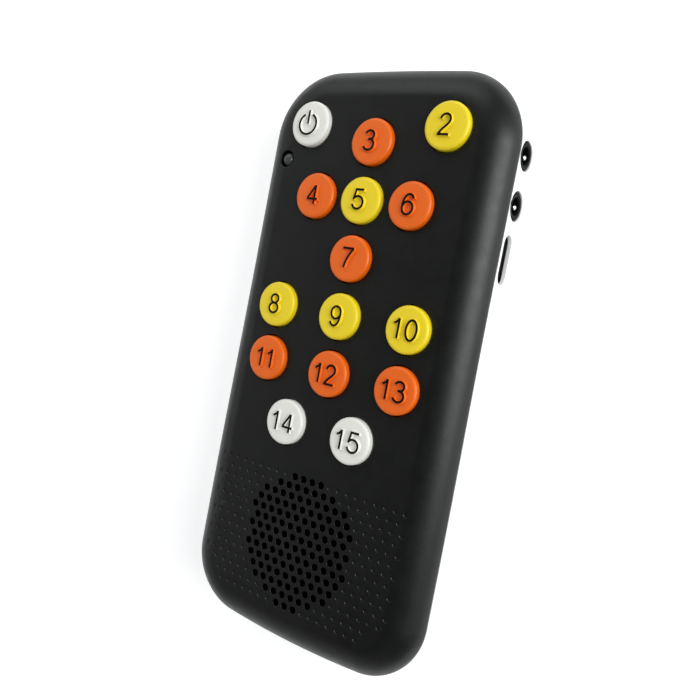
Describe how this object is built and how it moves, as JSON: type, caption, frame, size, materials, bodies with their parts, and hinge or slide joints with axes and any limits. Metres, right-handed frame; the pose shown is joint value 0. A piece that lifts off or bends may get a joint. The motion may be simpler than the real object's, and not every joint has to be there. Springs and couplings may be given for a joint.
{
  "type": "quiz buzzer",
  "caption": "Slim hand-held quiz buzzer: black face with round coloured push keys and a drilled speaker grille, white back with two audio sockets.",
  "frame": {"origin": "middle of the flat back, on the surface that it lies on", "axes": "+X to the side with the audio sockets, +Y to the end with the power key, +Z out of the key face"},
  "size_m": [0.0626, 0.1298, 0.0192],
  "materials": {
    "cover_black": "satin black moulding with a fine spark texture",
    "cover_white": "satin white moulding",
    "cap_white": "satin warm white moulding, black printed symbol",
    "cap_yellow": "satin yellow moulding, black printed numeral",
    "cap_orange": "satin orange moulding, black printed numeral",
    "lens": "clear diffused epoxy",
    "board": "green solder mask",
    "silicone": "translucent grey silicone",
    "black_plastic": "black moulding",
    "plated": "nickel plated",
    "steel": "zinc plated",
    "foam": "closed-cell foam",
    "paper": "pressed cone",
    "lead_red": "insulated wire",
    "lead_black": "insulated wire",
    "cell_wrap": "shrink film, unprinted"
  },
  "bodies": {
    "case": {"front_cover": "cover_black", "rear_cover": "cover_white", "battery_door": "cover_white", "indicator_led": "lens", "main_board": "board", "key_mat": "silicone", "side_board": "board", "board_link": "black_plastic", "sound_chip": "black_plastic", "upper_socket": "black_plastic", "lower_socket": "black_plastic", "upper_socket_contact": "plated", "lower_socket_contact": "plated", "slide_switch": "steel", "speaker_gasket": "foam", "speaker_frame": "steel", "speaker_cone": "paper", "speaker_magnet": "steel", "speaker_lead_red": "lead_red", "speaker_lead_black": "lead_black", "cell_left": "cell_wrap", "cell_right": "cell_wrap", "battery_bridge": "plated", "battery_contact_minus": "plated", "battery_contact_plus": "plated", "door_screw": "steel", "case_screw_1": "steel", "case_screw_2": "steel", "case_screw_3": "steel", "case_screw_4": "steel", "case_screw_5": "steel", "case_screw_6": "steel", "board_screw_1": "steel", "board_screw_2": "steel", "board_screw_3": "steel", "board_screw_4": "steel"},
    "power_button": {"power_button": "cap_white"},
    "button_2": {"button_2": "cap_yellow"},
    "button_3": {"button_3": "cap_orange"},
    "button_4": {"button_4": "cap_orange"},
    "button_5": {"button_5": "cap_yellow"},
    "button_6": {"button_6": "cap_orange"},
    "button_7": {"button_7": "cap_orange"},
    "button_8": {"button_8": "cap_yellow"},
    "button_9": {"button_9": "cap_yellow"},
    "button_10": {"button_10": "cap_yellow"},
    "button_11": {"button_11": "cap_orange"},
    "button_12": {"button_12": "cap_orange"},
    "button_13": {"button_13": "cap_orange"},
    "button_14": {"button_14": "cap_white"},
    "button_15": {"button_15": "cap_white"},
    "slide_knob": {"slide_knob": "black_plastic"}
  },
  "joints": [
    {"name": "power_button_press", "type": "slide", "parent": "case", "child": "power_button", "axis": [0, 0, -1], "range_m": [0, 0.0004], "stiffness_N_per_m": 1000},
    {"name": "button_2_press", "type": "slide", "parent": "case", "child": "button_2", "axis": [0, 0, -1], "range_m": [0, 0.0004], "stiffness_N_per_m": 1000},
    {"name": "button_3_press", "type": "slide", "parent": "case", "child": "button_3", "axis": [0, 0, -1], "range_m": [0, 0.0004], "stiffness_N_per_m": 1000},
    {"name": "button_4_press", "type": "slide", "parent": "case", "child": "button_4", "axis": [0, 0, -1], "range_m": [0, 0.0004], "stiffness_N_per_m": 1000},
    {"name": "button_5_press", "type": "slide", "parent": "case", "child": "button_5", "axis": [0, 0, -1], "range_m": [0, 0.0004], "stiffness_N_per_m": 1000},
    {"name": "button_6_press", "type": "slide", "parent": "case", "child": "button_6", "axis": [0, 0, -1], "range_m": [0, 0.0004], "stiffness_N_per_m": 1000},
    {"name": "button_7_press", "type": "slide", "parent": "case", "child": "button_7", "axis": [0, 0, -1], "range_m": [0, 0.0004], "stiffness_N_per_m": 1000},
    {"name": "button_8_press", "type": "slide", "parent": "case", "child": "button_8", "axis": [0, 0, -1], "range_m": [0, 0.0004], "stiffness_N_per_m": 1000},
    {"name": "button_9_press", "type": "slide", "parent": "case", "child": "button_9", "axis": [0, 0, -1], "range_m": [0, 0.0004], "stiffness_N_per_m": 1000},
    {"name": "button_10_press", "type": "slide", "parent": "case", "child": "button_10", "axis": [0, 0, -1], "range_m": [0, 0.0004], "stiffness_N_per_m": 1000},
    {"name": "button_11_press", "type": "slide", "parent": "case", "child": "button_11", "axis": [0, 0, -1], "range_m": [0, 0.0004], "stiffness_N_per_m": 1000},
    {"name": "button_12_press", "type": "slide", "parent": "case", "child": "button_12", "axis": [0, 0, -1], "range_m": [0, 0.0004], "stiffness_N_per_m": 1000},
    {"name": "button_13_press", "type": "slide", "parent": "case", "child": "button_13", "axis": [0, 0, -1], "range_m": [0, 0.0004], "stiffness_N_per_m": 1000},
    {"name": "button_14_press", "type": "slide", "parent": "case", "child": "button_14", "axis": [0, 0, -1], "range_m": [0, 0.0004], "stiffness_N_per_m": 1000},
    {"name": "button_15_press", "type": "slide", "parent": "case", "child": "button_15", "axis": [0, 0, -1], "range_m": [0, 0.0004], "stiffness_N_per_m": 1000},
    {"name": "slide_knob_slide", "type": "slide", "parent": "case", "child": "slide_knob", "axis": [0, 1, 0], "range_m": [0, 0.002]}
  ]
}
